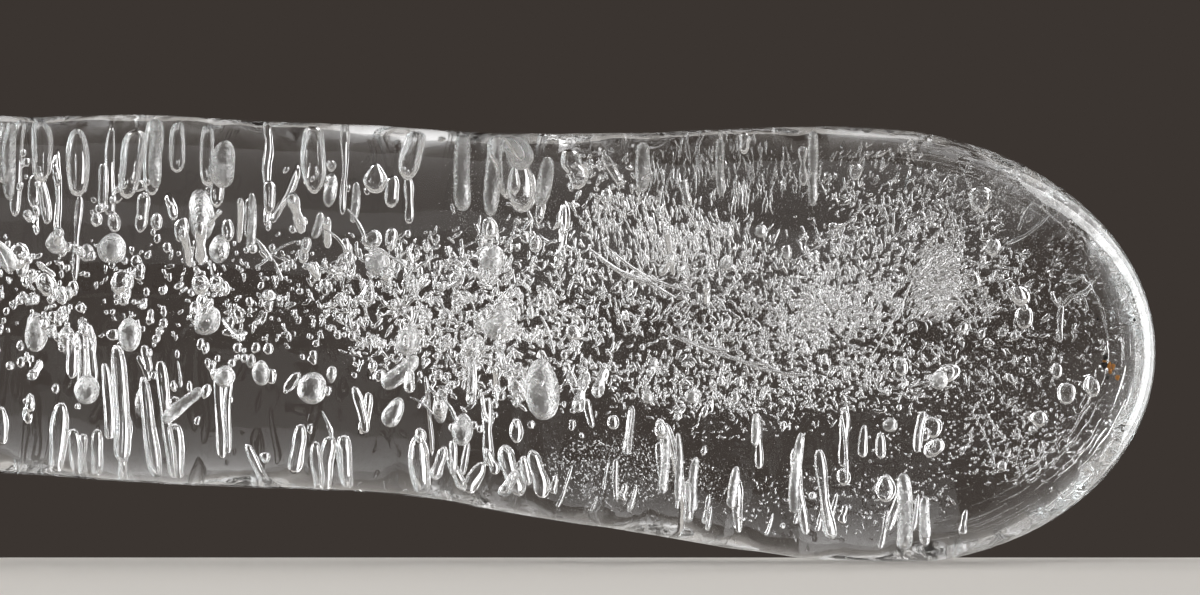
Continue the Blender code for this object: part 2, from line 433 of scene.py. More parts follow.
LOWER_TUBES = (
    (21.4, 3.4, 2.5, 0.2, 0.3, 0.2),
    (20.9, 3.1, 2.2, 0.16, -0.5, 0),
    (20.3, 2.9, 2.1, 0.22, 0.6, 0),
    (19.8, 3.3, 2.6, 0.15, -0.4, 0.3),
    (19.3, 2.7, 2.0, 0.18, 0.5, 0),
    (18.8, 3.1, 2.3, 0.14, -0.2, 0),
    (34.6, 4.6, 3.5, 0.22, 0, 0),
    (32.9, 4.7, 2.6, 0.28, 0.1, 0),
    (32.5, 6.8, 5.4, 0.17, 0, 0),
    (32.2, 6.9, 5.0, 0.16, -0.1, 0.1),
    (31.9, 7.1, 5.3, 0.13, -0.1, 0),
    (32.4, 3.9, 2.5, 0.2, -0.2, 0),
    (32.1, 3.8, 2.5, 0.15, 0, 0.1),
    (31.7, 3.9, 2.5, 0.18, 0, 0),
    (31.4, 5.9, 3.6, 0.16, -0.2, 0),
    (31.0, 6.5, 3.0, 0.25, -0.2, 0),
    (30.2, 6.5, 5.6, 0.14, -0.2, 0),
    (30.1, 5.5, 2.5, 0.21, -0.4, 0),
    (29.6, 6.0, 2.5, 0.17, -0.4, 0.1),
    (29.3, 4.0, 2.5, 0.21, -0.1, 0),
    (28.0, 5.6, 3.0, 0.15, -0.1, 0),
    (27.7, 5.4, 3.2, 0.13, 0.1, 0.1),
    (26.9, 3.5, 2.3, 0.16, -0.5, 0.2),
    (25.6, 4.0, 2.6, 0.24, 0.2, 0.2),
    (25.0, 3.5, 2.2, 0.2, -0.1, 0),
    (24.7, 3.6, 2.2, 0.2, 0.1, 0),
    (24.2, 3.7, 2.3, 0.25, -0.2, 0.1),
    (23.8, 5.1, 3.7, 0.14, -0.4, 0),
    (22.0, 3.7, 2.1, 0.33, -0.2, 0),
    (21.0, 3.6, 2.6, 0.13, 0, 0),
    (20.6, 3.5, 2.6, 0.12, 0.2, 0),
    (19.9, 4.8, 2.8, 0.18, -0.1, 0.3),
    (19.2, 3.4, 2.0, 0.28, -0.6, 0.2),
    (18.4, 3.2, 1.9, 0.25, -0.5, 0.2),
    (17.3, 5.7, 4.7, 0.13, -0.4, 0),
    (16.9, 4.8, 3.9, 0.12, -0.2, 0),
    (16.1, 2.9, 1.7, 0.1, 0, 0),
    (14.8, 4.2, 3.6, 0.18, -0.1, 0),
    (14.8, 3.5, 2.1, 0.11, -0.1, 0),
    (14.0, 2.4, 1.2, 0.16, 0, 0.2),
    (12.4, 2.4, 0.8, 0.15, -0.3, 0.2),
    (11.9, 4.4, 2.7, 0.13, -0.1, 0.3),
    (10.6, 3.3, 0.8, 0.16, -0.4, 0.2),
    (9.9, 3.3, 0.7, 0.19, -0.4, 0.3),
    (9.3, 4.5, 2.7, 0.15, 0, 0.3),
    (8.7, 4.0, 3.0, 0.13, 0, 0),
    (8.2, 3.8, 3.0, 0.13, 0, 0),
    (7.0, 4.4, 3.2, 0.11, 0.2, 0),
    (6.7, 3.5, 3.0, 0.16, 0, 0),
    (6.8, 1.7, 0.5, 0.13, 0, 0.2),
)
chance = np.random.default_rng(11)


def unit(vectors):
    """Each vector divided by its length."""
    return vectors / np.linalg.norm(vectors, axis=-1, keepdims=True)


def off_middle(along, aside, above):
    """The point that far from the tip, and aside from and above the middle of the ice."""
    across, height = middle_at(along)
    return np.stack([high.x - along, middle_across + across + aside, height + above], -1)


def inside(along, angle, share):
    """The point at a share of the way from the middle of the ice to its skin."""
    out = radius_at(along, angle) * share
    return off_middle(along, out * np.cos(angle), out * np.sin(angle))


def looks_at(along, height, depth):
    """The point in the ice that looks, level and square on, to be at this place and height.

    Snell's law bends the ray at the skin, which is as steep as the change of radius there makes
    it. Depth is how far past the middle the point lies, as a share of the radius. A point that
    would come too near the skin is drawn in towards the middle."""
    middle = middle_at(along)[1]
    half = np.sign(height - middle) * np.pi / 2
    radius = radius_at(along, half)
    swells = (radius_at(along + SLOPE_STEP, half) - radius) / SLOPE_STEP
    share = np.clip((height - middle) / radius, -FARTHEST_OUT, FARTHEST_OUT)
    front = -np.sqrt(1 - share**2)
    skin = unit(np.stack([swells, front, share], -1))
    facing = -skin[..., 1]
    inwards = facing / ICE_IOR - np.sqrt(1 - (1 - facing**2) / ICE_IOR**2)
    bent = inwards[..., None] * skin + (0, 1 / ICE_IOR, 0)
    reach = (depth - front) * radius / bent[..., 1]
    above = share * radius + reach * bent[..., 2]
    aside = depth * radius
    along = np.clip(along - reach * bent[..., 0], SLOPE_STEP, LENGTH)
    room = NEAREST_SKIN * radius_at(along, np.arctan2(above, aside))
    kept = np.minimum(1, room / np.hypot(above, aside))
    return off_middle(along, aside * kept, above * kept)


def bubble_walls(
    start, end, radius, grid, blunt=EGG, waist=0.0, taper=0.0, bend=0.0, lumps=0.0, flat=None
):
    """One closed bubble from each start to each end, as rings around the line between them.

    With t running from 0 to pi, a ring lies at (1 - cos t) / 2 of the line and its radius is the
    bubble's times sqrt(1 - |cos t| ^ blunt). A waist narrows its middle by a bell curve, taper
    thins one end in a straight line, and lumps swell and pinch it by sines along and around.
    Bend bows the line by half a sine, square to the direction flat, or else any way."""
    count = len(start)
    rings, around = grid
    way = end - start
    length = np.linalg.norm(way, axis=1)[:, None]
    way = way / length
    side = unit(np.cross(way, chance.normal(size=(count, 3)) if flat is None else flat))
    other = np.cross(way, side)
    settings = (blunt, waist, taper, bend, lumps)
    columns = [np.broadcast_to(np.asarray(value, float), count)[:, None] for value in settings]
    blunt, waist, taper, bend, lumps = columns
    turn = np.linspace(0, np.pi, rings + 2)[None, 1:-1]
    share = (1 - np.cos(turn)) / 2
    phase = chance.uniform(0, 2 * np.pi, (3, count, 1))
    wall = radius[:, None] * np.sqrt(1 - np.abs(np.cos(turn)) ** blunt)
    narrowing = waist * np.exp(-(((share - 0.5) / WAIST_WIDTH) ** 2))
    wall = wall * (1 - narrowing) * (1 + taper * (2 * share - 1))
    wall = wall * (1 + lumps * np.sin(LUMPS_ALONG * share + phase[0]))
    line = start[:, None] + way[:, None] * (share * length)[..., None]
    line = line + side[:, None] * (bend * length * np.sin(np.pi * share))[..., None]
    angle = np.linspace(0, 2 * np.pi, around, endpoint=False)
    around_it = 2 * angle + phase[1][..., None] + LUMPS_TWIST * share[..., None]
    spoke = wall[..., None] * (1 + lumps[..., None] * np.sin(around_it))
    ring = (
        line[:, :, None]
        + side[:, None, None] * (spoke * np.cos(angle))[..., None]
        + other[:, None, None] * (spoke * np.sin(angle))[..., None]
    )
    parts = [start[:, None], ring.reshape(count, -1, 3), end[:, None]]
    return np.concatenate(parts, axis=1).reshape(-1, 3), grid


def add_bubbles(name, groups, material):
    """Joins groups of bubble walls into one piece that rides with the ice."""
    points, quads, fans, first = [], [], [], 0
    for corners, (rings, around) in groups:
        sides, ends = wall_faces(len(corners) // (rings * around + 2), rings, around)
        points.append(corners)
        quads.append(sides + first)
        fans.append(ends + first)
        first += len(corners)
    joined = [np.concatenate(parts) for parts in (points, quads, fans)]
    piece = add_piece(name, *joined, [material])
    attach(piece, "root")


def air_material(name, roughness, frost=0.0):
    """The wall of a bubble: a step from ice into air, so its IOR is 1 / 1.31.

    Frost is how high the frost stands on it, in metres."""
    material = new_material(name)
    links = ()
    if frost:
        links = [(fine_relief(material, FROST_GRAIN, 2.0, frost), "Normal", "Normal")]
    settings = {"Color": colour("ffffff"), "Roughness": roughness, "IOR": 1 / ICE_IOR}
    wall = add_node(material, "ShaderNodeBsdfGlass", settings, links)
    add_node(material, "ShaderNodeOutputMaterial", links=[(wall, "BSDF", "Surface")])
    return material


def tube_bluntness(start, end, radius):
    """How blunt a tube must be for round ends: it grows with how many radii long the tube is."""
    return np.clip(BLUNTER_BY * np.linalg.norm(end - start, axis=1) / radius, EGG, BLUNTEST)


def listed_tubes(table, spread):
    """Tubes from the list, each in an upright plane that passes near the middle of the ice."""
    along, upper, lower, radius, slant, waist = np.array(table).T
    lie = chance.uniform(-spread, spread, len(along))
    share = np.abs(np.stack([upper, lower]) * MM - middle_at(along * MM)[1]) / (SHAFT_DIAMETER / 2)
    start = looks_at((along - slant / 2) * MM, upper * MM, lie * share[0])
    end = looks_at((along + slant / 2) * MM, lower * MM, lie * share[1])
    taper = chance.uniform(-0.1, 0.25, len(along))
    blunt = tube_bluntness(start, end, radius * MM)
    return bubble_walls(
        start, end, radius * MM, LONG_GRID, blunt, waist, taper, bend=0.02, lumps=0.05
    )


def side_tubes(count):
    """Tubes all around and all along, each on its own spoke from the middle to the skin.

    Where the upright ones are listed, those that would be upright are turned level."""
    along = chance.uniform(*SIDE_TUBES_PLACE, count)
    angle = chance.uniform(0, 2 * np.pi, count)
    upright = np.abs(np.sin(angle)) > UPRIGHT
    angle = np.where((along < LISTED_TO) & upright, angle + np.pi / 2, angle)
    inner = chance.uniform(*SIDE_TUBES_INNER_END, count)
    outer = inner + chance.uniform(*SIDE_TUBES_LONG, count)
    outer = np.minimum(outer, chance.uniform(0.8, NEAREST_SKIN, count))
    start = inside(along, angle, inner)
    along_end = along + chance.normal(0, 0.25, count) * MM
    end = inside(along_end, angle + chance.normal(0, 0.05, count), outer)
    thinner = np.where(along < THINNER_TO, THINNER_BY, 1.0)
    radius = chance.uniform(*SIDE_TUBES_RADIUS, count) * thinner * MM
    radius = np.minimum(radius, np.linalg.norm(end - start, axis=1) / SHORTEST)
    waist = chance.uniform(0, 0.4, count)
    blunt = tube_bluntness(start, end, radius)
    return bubble_walls(
        start, end, radius, LONG_GRID, blunt, waist, taper=0.1, bend=0.02, lumps=0.02
    )


def floor_tubes(count):
    """Short tubes in the underside of the swollen tip, more or less upright."""
    along = chance.uniform(*FLOOR_TUBES_PLACE, count)
    share = chance.uniform(*FLOOR_TUBES_OUTER_END, count)
    lower = middle_at(along)[1] - radius_at(along, -np.pi / 2) * share
    long = chance.uniform(*FLOOR_TUBES_LONG, count) * MM
    lie = chance.uniform(-0.3, 0.2, count)
    start = looks_at(along + FLOOR_TUBES_LEAN * long, lower, lie)
    along_end = along - FLOOR_TUBES_LEAN * long * chance.uniform(0, 2, count)
    end = looks_at(along_end, lower + long, lie)
    radius = chance.uniform(*FLOOR_TUBES_RADIUS, count) * MM
    return bubble_walls(
        start, end, radius, LONG_GRID, blunt=7, waist=0.2, taper=-0.3, bend=0.03, lumps=0.08
    )


# A clean smooth wall between ice and air: a bright outline around what shows through it.
clear_air = air_material("bubble_wall_clear", roughness=0.0)
tubes = [
    listed_tubes(UPPER_TUBES, 0.2),
    listed_tubes(LOWER_TUBES, 0.3),
    floor_tubes(FLOOR_TUBES),
    side_tubes(SIDE_TUBES),
]
add_bubbles("long_bubbles", tubes, clear_air)

# -------- round bubbles and chains --------
# Rounder bubbles crowd around the middle, where the last water froze. Many touch the next one in
# short chains.

LARGE_GRID = (11, 20)
ROUND_GRID = (7, 12)
CHAIN_GRID = (5, 9)
CHAIN_LINKS = 5
CHAIN_SPACING = (0.16, 0.3)  # mm
CHAIN_RADIUS = (0.06, 0.14)  # mm
CHAIN_STRAY = 0.05 * MM
# How many, where they begin and end, from the tip, their spread, as a share of the ice's radius,
# and their smallest and largest radius.
SMALL_ROUNDS = (
    (260, 17 * MM, 36 * MM, 0.36, 0.06 * MM, 0.22 * MM),
    (420, 36 * MM, 70 * MM, 0.34, 0.08 * MM, 0.32 * MM),
    (60, 4 * MM, 17 * MM, 0.5, 0.06 * MM, 0.24 * MM),
)
# How many, and where they begin and end, from the tip.
CHAINS = (
    (45, 17 * MM, 36 * MM),
    (60, 36 * MM, 68 * MM),
)
# Large ones: from the tip, height and radius in mm, and how many radii long.
LARGE_ROUNDS = (
    (34.0, 9.2, 0.3, 1.1),
    (33.2, 8.3, 0.3, 1.2),
    (31.2, 10.2, 0.2, 1.4),
    (31.0, 8.4, 0.3, 1.3),
    (29.9, 10.2, 0.18, 1.3),
    (29.2, 10.0, 0.2, 1.5),
    (28.6, 8.3, 0.27, 1.0),
    (27.9, 8.2, 0.2, 1.1),
    (27.8, 10.0, 0.2, 1.5),
    (26.5, 6.3, 0.14, 1.1),
    (25.8, 5.3, 0.16, 2.0),
    (23.5, 9.7, 0.25, 1.3),
    (22.9, 9.7, 0.2, 1.5),
    (22.0, 3.7, 0.18, 1.1),
    (20.0, 10.1, 0.26, 1.2),
    (19.1, 3.8, 0.22, 1.4),
    (18.6, 9.6, 0.2, 1.2),
    (16.2, 4.1, 0.18, 1.0),
    (14.8, 3.9, 0.18, 1.1),
    (9.3, 2.4, 0.22, 1.0),
    (8.0, 2.1, 0.25, 1.4),
    (6.6, 3.4, 0.24, 1.1),
    (6.6, 3.9, 0.24, 1.1),
    (5.3, 10.9, 0.33, 1.1),
    (4.9, 9.5, 0.24, 1.0),
    (4.1, 8.0, 0.26, 1.7),
    (3.9, 7.3, 0.24, 1.2),
    (3.5, 4.2, 0.22, 1.3),
    (2.7, 5.0, 0.26, 1.2),
    (1.9, 5.2, 0.24, 1.2),
    (3.0, 5.7, 0.18, 1.2),
    (7.6, 5.8, 0.2, 1.3),
    (6.2, 5.6, 0.25, 1.5),
)


def walls_around(centre, half, radius, grid, **form):
    """Bubble walls that reach by half, a vector, to both sides of each centre."""
    return bubble_walls(centre - half, centre + half, radius, grid, **form)


def round_bubbles(count, from_tip, to_tip, spread, smallest, largest):
    """Eggs of random size and lie, most of them small and near the middle."""
    along = chance.uniform(from_tip, to_tip, count)
    share = np.minimum(np.abs(chance.normal(0, spread, count)), 0.9)
    centre = inside(along, chance.uniform(0, 2 * np.pi, count), share)
    radius = smallest * (largest / smallest) ** chance.beta(1.2, 2.0, count)
    way = unit(chance.normal(size=(count, 3)) * (1, 1, 2))
    half = way * (radius * chance.uniform(1.0, 1.7, count))[:, None]
    return walls_around(centre, half, radius, ROUND_GRID, taper=0.15, lumps=0.08)


def chained_bubbles(count, from_tip, to_tip):
    """Rows of small bubbles, each row on a gently wandering line."""
    along = chance.uniform(from_tip, to_tip, count)
    first = inside(along, chance.uniform(0, 2 * np.pi, count), chance.uniform(0.05, 0.5, count))
    way = unit(chance.normal(size=(count, 3)))
    steps = np.cumsum(chance.uniform(*CHAIN_SPACING, (count, CHAIN_LINKS)), axis=1) * MM
    stray = chance.normal(0, CHAIN_STRAY, (count, CHAIN_LINKS, 3))
    centre = (first[:, None] + way[:, None] * steps[..., None] + stray).reshape(-1, 3)
    radius = chance.uniform(*CHAIN_RADIUS, count * CHAIN_LINKS) * MM
    half = unit(chance.normal(size=centre.shape)) * radius[:, None]
    return walls_around(centre, half, radius, CHAIN_GRID)


def listed_rounds():
    """Eggs from the list, more or less upright, at or a little before the middle of the ice."""
    along, height, radius, long = np.array(LARGE_ROUNDS).T
    centre = looks_at(along * MM, height * MM, chance.uniform(-0.4, 0.1, len(along)))
    way = unit(chance.normal(size=centre.shape) * (0.4, 0.4, 1))
    half = way * (radius * long * MM)[:, None]
    return walls_around(centre, half, radius * MM, LARGE_GRID, taper=0.1, lumps=0.04)


rounds = [listed_rounds()]
rounds += [round_bubbles(*row) for row in SMALL_ROUNDS]
rounds += [chained_bubbles(*row) for row in CHAINS]
add_bubbles("round_bubbles", rounds, clear_air)

# -------- pearl bubbles --------
# Some bubbles had frost grow on the inside of their walls, from the damp air in them. It scatters
# the light, so round ones look like grey pearls, and tubes like soft upright streaks.

PEARL_GRID = (11, 16)
HIDDEN_PEARL_GRID = (9, 14)
HIDDEN_PEARLS = 40
HIDDEN_PEARLS_PLACE = (18 * MM, 70 * MM)  # from the tip
HIDDEN_PEARLS_RADIUS = (0.15, 0.42)  # mm
PEARLS_REACH = 0.55 * TIP_DIAMETER  # up or down, where their depth has shrunk to none

# From the tip, height, half length, radius and slant, in mm.
PEARLS = (
    (31.2, 9.4, 0.45, 0.42, 0),
    (32.0, 9.3, 0.28, 0.23, 0),
    (32.9, 9.6, 0.34, 0.3, 0.1),
    (33.5, 6.8, 0.58, 0.36, 0.1),
    (34.4, 9.2, 0.42, 0.25, -0.7),
    (30.7, 6.8, 0.52, 0.34, 0),
    (28.4, 7.2, 0.46, 0.42, 0),
    (32.0, 5.1, 0.45, 0.36, -0.1),
    (29.1, 4.6, 0.5, 0.17, 1.2),
    (27.8, 5.5, 0.34, 0.3, 0),
    (26.7, 5.6, 0.38, 0.27, 0),
    (25.2, 5.1, 0.48, 0.42, 0.1),
    (22.6, 5.6, 0.42, 0.24, 1.1),
    (22.4, 6.6, 0.45, 0.38, 0.4),
    (22.8, 4.4, 0.4, 0.27, 0.5),
    (20.7, 3.9, 0.46, 0.33, 0),
    (18.3, 5.1, 0.95, 0.5, -0.2),
    (19.6, 7.1, 0.5, 0.5, 0),
    (23.3, 9.0, 0.42, 0.38, 0.2),
    (19.9, 9.2, 0.42, 0.4, 0),
    (27.9, 11.9, 0.66, 0.36, 0.1),
    (12.9, 9.9, 0.18, 0.18, 0),
    (11.9, 10.0, 0.19, 0.18, 0),
    (12.9, 9.0, 0.24, 0.2, 0),
    (13.9, 4.9, 0.22, 0.2, 0),
    (15.2, 4.9, 0.22, 0.18, 0),
    (7.9, 4.0, 0.22, 0.2, 0),
    (6.5, 5.4, 0.3, 0.24, 0.1),
    # soft upright streaks
    (34.3, 12.0, 1.1, 0.2, 0),
    (30.0, 12.2, 1.0, 0.18, 0),
    (27.1, 10.2, 0.9, 0.13, 0),
    (25.1, 10.1, 0.4, 0.14, 0.2),
    (24.0, 10.8, 0.6, 0.13, 0.1),
    (20.8, 11.8, 1.2, 0.25, 0),
    (19.9, 11.6, 1.1, 0.24, 0.2),
    (19.2, 12.3, 0.5, 0.42, -0.5),
    (18.4, 11.4, 0.7, 0.24, 0.3),
    (15.4, 11.8, 0.7, 0.22, 0),
    (13.1, 11.8, 0.8, 0.12, 0),
    (10.3, 11.8, 1.1, 0.15, 0),
    (14.3, 2.8, 1.0, 0.12, 0),
    (7.5, 1.5, 1.1, 0.22, 0),
    (14.7, 2.9, 0.9, 0.13, 0.1),
    (13.8, 2.3, 0.8, 0.15, 0.1),
    (12.6, 2.2, 0.6, 0.14, 0.1),
    (10.7, 2.6, 1.2, 0.16, 0.2),
    (6.8, 1.3, 0.6, 0.15, 0),
    (12.0, 3.9, 0.5, 0.14, 0),
)


def pearls():
    """Frosted bubbles from the list, at or before the middle of the ice."""
    along, height, half, radius, slant = np.array(PEARLS).T * MM
    out = np.abs(height - middle_at(along)[1]) / PEARLS_REACH
    depth = chance.uniform(-0.5, 0.0, len(along)) * (1 - out)
    start = looks_at(along - slant / 2, height + half, depth)
    end = looks_at(along + slant / 2, height - half, depth)
    blunt = tube_bluntness(start, end, radius)
    return bubble_walls(start, end, radius, PEARL_GRID, blunt, taper=0.1, bend=0.03, lumps=0.04)


def hidden_pearls(count):
    """More of them, all around the root half, and on the far side only where others are listed."""
    along = chance.uniform(*HIDDEN_PEARLS_PLACE, count)
    far_side = chance.uniform(-0.2 * np.pi, 0.2 * np.pi, count)
    angle = np.where(along > LISTED_TO, chance.uniform(0, 2 * np.pi, count), far_side)
    centre = inside(along, angle, chance.uniform(0.25, 0.8, count))
    radius = chance.uniform(*HIDDEN_PEARLS_RADIUS, count) * MM
    outwards = unit(centre - inside(along, angle, 0.0))
    half = outwards * (radius * chance.uniform(1.0, 1.8, count))[:, None]
    return walls_around(centre, half, radius, HIDDEN_PEARL_GRID, taper=0.1, bend=0.03, lumps=0.05)


# A wall with frost on its inside: it spreads the light that passes, so the bubble looks grey and
# solid, and its far side cannot be made out.
frosted_air = air_material("bubble_wall_frosted", roughness=0.4, frost=0.06 * MM)
add_bubbles("pearl_bubbles", [pearls(), hidden_pearls(HIDDEN_PEARLS)], frosted_air)

# -------- the cloudy core --------
# The last water to freeze was full of air, and froze to a cloud of tiny bent bubbles. The cloud
# is widest in the swollen tip, and thins to a cord along the shaft.

# From the tip, height, half length and half height of the patch in mm, how many bubbles, radius in
# mm, how many radii long, lean from upright and how far it strays, in degrees.
TIP_PATCHES = (
    (12.8, 11.7, 2.5, 1.0, 260, 0.025, 7, 0, 20),
    (8.2, 11.6, 2.5, 0.9, 260, 0.03, 3, 20, 60),
    (12.0, 7.8, 4.2, 1.5, 1000, 0.038, 3, 0, 90),
    (12.3, 5.5, 4.4, 1.1, 800, 0.042, 2, 0, 90),
    (8.2, 8.9, 2.6, 2.1, 850, 0.038, 3, 30, 70),
    (10.2, 7.3, 1.3, 0.9, 200, 0.05, 2, 0, 90),
    (6.6, 8.5, 0.7, 1.2, 230, 0.036, 5, 60, 25),
    (4.5, 7.1, 2.4, 2.3, 420, 0.032, 3, 0, 90),
    (5.6, 3.9, 3.0, 1.7, 420, 0.028, 1, 0, 90),
    (9.4, 1.7, 3.6, 1.0, 260, 0.026, 2, 0, 90),
    (8.0, 5.7, 1.7, 1.1, 220, 0.036, 3, 0, 90),
    (5.9, 10.6, 1.4, 1.1, 150, 0.03, 3, 40, 60),
    (13.2, 9.6, 2.0, 0.8, 230, 0.03, 4, 10, 40),
    (4.3, 3.6, 1.9, 1.3, 160, 0.032, 3, 40, 50),
    (5.1, 8.7, 1.3, 1.6, 190, 0.03, 3, 40, 60),
    (2.2, 9.0, 1.0, 1.5, 130, 0.024, 3, 60, 40),
    (1.7, 5.6, 0.8, 2.4, 150, 0.024, 2, 0, 90),
    (4.4, 11.0, 2.0, 0.7, 130, 0.022, 3, 40, 60),
    (3.2, 2.9, 1.4, 0.8, 100, 0.024, 3, 40, 50),
    (12.5, 4.5, 4.0, 0.9, 250, 0.025, 3, 0, 90),
)
SHAFT_PATCHES = (
    (15.2, 10.0, 2.2, 1.1, 420, 0.034, 4, -15, 25),
    (16.6, 11.4, 1.2, 0.9, 110, 0.055, 2, 0, 90),
    (16.2, 2.6, 2.0, 1.0, 880, 0.019, 1, 0, 90),
    (13.7, 2.4, 0.7, 0.6, 90, 0.018, 1, 0, 90),
    (18.4, 7.6, 2.6, 3.0, 620, 0.046, 3, 0, 90),
    (20.9, 7.4, 2.3, 2.8, 330, 0.055, 3, 0, 90),
    (23.2, 7.8, 1.9, 2.0, 220, 0.055, 3, 0, 90),
    (26.0, 7.9, 2.8, 1.5, 180, 0.05, 2, 0, 90),
    (32.5, 8.2, 5.0, 1.7, 130, 0.05, 2, 0, 90),
)
# How many, where they begin and end, from the tip, and their spread, as a share of the radius.
HIDDEN_CLOUD = (1300, 37 * MM, 70 * MM, 0.25)
DEEP = 0.3  # of the radius, how far the cloud reaches before and behind the middle
SOFT_EDGE = 0.12  # of a patch
NEAREST_TIP = 0.5  # mm
WORM_GRID = (3, 5)


def fine_bubbles(centre, girth, long, way):
    """Short bent bubbles of the given radius, so many radii long, lumpy and a little tapered."""
    count = len(centre)
    girth = girth * chance.uniform(0.7, 1.3, count) * MM
    half = way * (girth * np.maximum(long * chance.uniform(0.5, 1.5, count), 1))[:, None]
    return walls_around(centre, half, girth, WORM_GRID, blunt=3, taper=0.2, bend=0.12, lumps=0.15)


def patch_of_bubbles(along, height, half_length, half_height, count, girth, long, lean, stray):
    """Fine bubbles spread evenly over an ellipse, with a soft edge."""
    spin = chance.uniform(0, 2 * np.pi, count)
    out = np.sqrt(chance.uniform(0, 1, count)) * (1 + SOFT_EDGE * chance.normal(size=count))
    along = np.maximum(along + half_length * out * np.cos(spin), NEAREST_TIP) * MM
    height = (height + half_height * out * np.sin(spin)) * MM
    centre = looks_at(along, height, chance.normal(0, DEEP, count))
    tilt = np.radians(lean + stray * chance.uniform(-1, 1, count))
    way = unit(np.stack([np.sin(tilt), chance.normal(0, 0.5, count), np.cos(tilt)], -1))
    return fine_bubbles(centre, girth, long, way)


def scattered(count, from_tip, to_tip, spread):
    """Points all along the ice, thick in its middle and thin outside by a bell curve."""
    along = chance.uniform(from_tip, to_tip, count)
    angle = chance.uniform(0, 2 * np.pi, count)
    return inside(along, angle, np.abs(chance.normal(0, spread, count)))


def hidden_cloud():
    """The same cloud along the rest of the shaft."""
    centre = scattered(*HIDDEN_CLOUD)
    way = unit(chance.normal(size=centre.shape))
    return fine_bubbles(centre, girth=0.06, long=2.5, way=way)


# The walls of the finest bubbles are a little uneven, which blurs their outlines to a haze.
hazy_air = air_material("bubble_wall_hazy", roughness=0.12)
add_bubbles("tip_cloud", [patch_of_bubbles(*patch) for patch in TIP_PATCHES], hazy_air)
shaft_cloud = [patch_of_bubbles(*patch) for patch in SHAFT_PATCHES]
add_bubbles("shaft_cloud", shaft_cloud + [hidden_cloud()], clear_air)

# -------- hair bubbles --------
# Where the freezing fronts met, air was drawn out into hairs, some of them branched. In the tip,
# thin flat hairs lie between the layers that froze one over another.

HAIR_GRID = (15, 7)
HAIR_BLUNT = 6
SIDEWAYS = (0.0, 1.0, 0.0)
# From the tip and height of one end, then of the other, in mm, the bow to one side, as a share of
# the length, and the radius in mm.
HAIRS = (
    (17.0, 9.4, 15.0, 8.3, -0.06, 0.065),
    (16.8, 9.2, 15.3, 8.3, -0.03, 0.04),
    (16.4, 9.4, 13.9, 8.1, -0.08, 0.045),
    (15.6, 8.8, 14.4, 7.9, -0.05, 0.04),
    (14.8, 6.9, 12.8, 6.3, -0.04, 0.06),
    (14.3, 6.7, 11.6, 5.9, -0.05, 0.04),
    (13.1, 6.3, 10.5, 5.6, -0.06, 0.05),
    (12.2, 6.3, 10.9, 5.5, -0.05, 0.036),
    (14.4, 8.5, 13.5, 9.1, 0.08, 0.026),
    (14.2, 8.4, 13.4, 8.9, 0.05, 0.026),
    (14.0, 8.3, 13.1, 8.8, 0.05, 0.024),
    (11.2, 8.9, 9.0, 10.4, -0.05, 0.026),
    (8.8, 5.9, 7.3, 8.7, -0.03, 0.035),
    (7.4, 8.6, 6.7, 9.5, 0.05, 0.03),
    (7.0, 8.0, 6.1, 8.2, 0.04, 0.04),
    (6.9, 7.7, 6.0, 7.8, 0.05, 0.035),
    (6.8, 7.5, 6.2, 7.4, 0.05, 0.035),
    (6.9, 8.4, 6.0, 8.8, 0.05, 0.03),
    (6.8, 8.7, 6.1, 9.4, 0.03, 0.035),
    (6.2, 8.1, 5.4, 7.0, 0.04, 0.03),
    (2.9, 6.6, 2.9, 7.7, 0.05, 0.09),
    (2.9, 7.6, 3.2, 8.1, 0.1, 0.065),
    (2.9, 7.6, 2.5, 8.0, 0.06, 0.08),
    (2.5, 8.0, 2.0, 8.3, -0.1, 0.07),
    (2.0, 8.3, 2.3, 8.6, 0.2, 0.055),
    (2.3, 8.6, 2.8, 8.4, 0.15, 0.05),
    (2.3, 8.0, 2.1, 7.5, 0.05, 0.05),
    (3.6, 11.0, 4.6, 9.5, 0.05, 0.06),
    (3.7, 10.8, 4.2, 9.9, -0.05, 0.05),
    (5.6, 4.5, 4.9, 2.8, 0.05, 0.028),
    (5.2, 4.7, 4.6, 3.6, -0.05, 0.026),
    (9.5, 4.6, 9.3, 2.4, 0.03, 0.05),
    (34.9, 9.9, 34.2, 8.6, 0.05, 0.03),
    (26.9, 9.7, 26.4, 9.0, 0.02, 0.055),
    (26.4, 9.2, 25.7, 9.6, 0.06, 0.04),
    (26.5, 9.2, 25.9, 9.0, 0.04, 0.045),
    (26.4, 9.2, 26.9, 8.8, 0.04, 0.04),
    (26.4, 9.1, 26.1, 8.4, 0.02, 0.04),
    (25.0, 10.0, 24.2, 9.3, 0.1, 0.04),
    (24.2, 10.6, 23.6, 9.6, 0.05, 0.055),
    (23.8, 9.6, 22.4, 8.8, 0.04, 0.04),
    (29.2, 6.0, 29.1, 5.2, 0.03, 0.05),
    (24.9, 4.5, 24.6, 3.7, 0.05, 0.06),
    (21.4, 5.0, 20.9, 4.2, 0.06, 0.05),
    (22.3, 4.9, 21.6, 4.4, 0.08, 0.04),
    (19.7, 6.8, 19.4, 5.4, 0.05, 0.045),
    (18.4, 7.4, 18.0, 6.2, 0.05, 0.05),
)
HIDDEN_HAIRS = 60
HIDDEN_HAIRS_PLACE = (37 * MM, 69 * MM)  # from the tip
HIDDEN_HAIRS_SPREAD = (0.9 * MM, 0.4 * MM, 0.4 * MM)
HIDDEN_HAIRS_RADIUS = (0.025, 0.05)  # mm
LAYER_HAIRS = 90
LAYER_HAIRS_RADIUS = (0.008, 0.022)  # mm
LAYERS_FROM = 0.78  # of the way out to the outline of the tip
LAYERS_TO = 0.97


